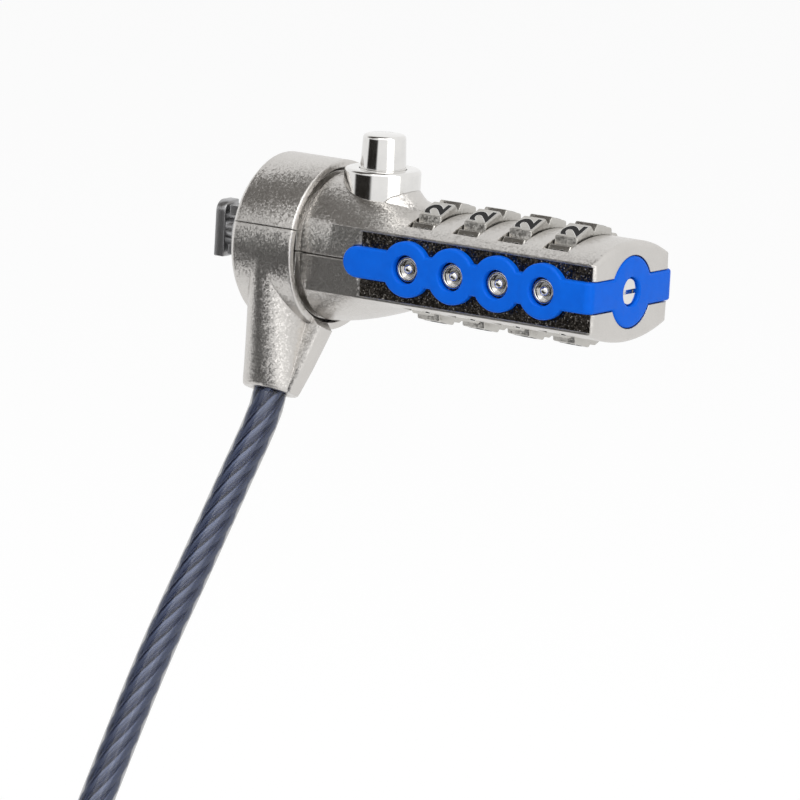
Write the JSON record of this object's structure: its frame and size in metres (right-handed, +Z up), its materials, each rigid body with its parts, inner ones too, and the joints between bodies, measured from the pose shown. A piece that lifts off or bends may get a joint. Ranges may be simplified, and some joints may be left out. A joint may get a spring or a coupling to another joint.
{
  "type": "laptop cable lock",
  "caption": "Combination cable lock head with a T-bar nose, swivel collar, push button, code dials and a coiled steel cable with an end loop.",
  "frame": {"origin": "centre of the flat end face of the fixed nose, the plane that lies against the locked device", "axes": "+X from the nose along the lock to its slotted screw, +Z up through the push button, -Y out of the side that faces the viewer"},
  "size_m": [0.0766, 0.1184, 0.1064],
  "materials": {
    "pearl_nickel": "satin pearl nickel plate on cast zinc",
    "bright_nickel": "bright nickel plate",
    "dial_nickel": "nickel plate with engraved digits",
    "tool_steel": "bare hardened steel",
    "brass": "turned",
    "spring_steel": "bare",
    "blue_trim": "satin gloss",
    "cable_sleeve": "clear sleeve over a dark steel rope"
  },
  "bodies": {
    "lock_housing": {"upper_housing": "pearl_nickel", "lower_housing": "pearl_nickel", "trim_strip": "blue_trim", "nose_core": "tool_steel", "swivel_washer": "brass", "housing_pin_1": "tool_steel", "housing_pin_2": "tool_steel", "housing_pin_3": "tool_steel", "housing_pin_4": "tool_steel", "detent_plug_1": "bright_nickel", "detent_plug_2": "bright_nickel", "detent_plug_3": "bright_nickel", "detent_plug_4": "bright_nickel", "detent_plug_5": "bright_nickel", "detent_plug_6": "bright_nickel", "detent_plug_7": "bright_nickel", "detent_plug_8": "bright_nickel", "detent_pin_1": "bright_nickel", "detent_pin_2": "bright_nickel", "detent_pin_3": "bright_nickel", "detent_pin_4": "bright_nickel", "detent_pin_5": "bright_nickel", "detent_pin_6": "bright_nickel", "detent_pin_7": "bright_nickel", "detent_pin_8": "bright_nickel", "button_spring": "spring_steel", "spindle_spring": "spring_steel"},
    "swivel_collar": {"collar_upper": "pearl_nickel", "collar_lower": "pearl_nickel", "collar_pin_1": "tool_steel", "collar_pin_2": "tool_steel", "cable_crimp": "bright_nickel", "cable": "cable_sleeve", "cable_coil": "cable_sleeve", "loop_ferrule": "bright_nickel", "end_loop": "cable_sleeve"},
    "dial_1": {"dial_1": "dial_nickel", "code_sleeve_1": "brass"},
    "dial_2": {"dial_2": "dial_nickel", "code_sleeve_2": "brass"},
    "dial_3": {"dial_3": "dial_nickel", "code_sleeve_3": "brass"},
    "dial_4": {"dial_4": "dial_nickel", "code_sleeve_4": "brass"},
    "push_button": {"push_button": "bright_nickel"},
    "t_bar": {"t_bar": "tool_steel", "crank_disc": "tool_steel"},
    "spindle": {"spindle": "tool_steel"},
    "code_reset_screw": {"code_reset_screw": "bright_nickel"}
  },
  "joints": [
    {"name": "collar_swivel", "type": "hinge", "parent": "lock_housing", "child": "swivel_collar", "pos_m": [0.00915, 0, 0], "axis": [1, 0, 0], "continuous": true},
    {"name": "dial_1_turn", "type": "hinge", "parent": "lock_housing", "child": "dial_1", "pos_m": [0.02955, 0, 0], "axis": [1, 0, 0], "continuous": true},
    {"name": "dial_2_turn", "type": "hinge", "parent": "lock_housing", "child": "dial_2", "pos_m": [0.03605, 0, 0], "axis": [1, 0, 0], "continuous": true},
    {"name": "dial_3_turn", "type": "hinge", "parent": "lock_housing", "child": "dial_3", "pos_m": [0.04255, 0, 0], "axis": [1, 0, 0], "continuous": true},
    {"name": "dial_4_turn", "type": "hinge", "parent": "lock_housing", "child": "dial_4", "pos_m": [0.04905, 0, 0], "axis": [1, 0, 0], "continuous": true},
    {"name": "button_press", "type": "slide", "parent": "lock_housing", "child": "push_button", "axis": [0, 0, -1], "range_m": [0, 0.003], "stiffness_N_per_m": 300, "springref_m": -0.002, "deforming": ["button_spring"]},
    {"name": "t_bar_turn", "type": "hinge", "parent": "lock_housing", "child": "t_bar", "pos_m": [0.006, 0, 0], "axis": [1, 0, 0], "range_deg": [0, 90]},
    {"name": "spindle_slide", "type": "slide", "parent": "lock_housing", "child": "spindle", "axis": [1, 0, 0], "range_m": [0, 0.001], "deforming": ["spindle_spring"]},
    {"name": "reset_screw_turn", "type": "hinge", "parent": "lock_housing", "child": "code_reset_screw", "pos_m": [0.0555, 0, 0], "axis": [1, 0, 0], "range_deg": [0, 90]}
  ],
  "couplings": [
    {"joint": "t_bar_turn", "follows": "button_press", "rad_per_m": 523.5},
    {"joint": "spindle_slide", "follows": "button_press", "ratio": 0.3333}
  ]
}
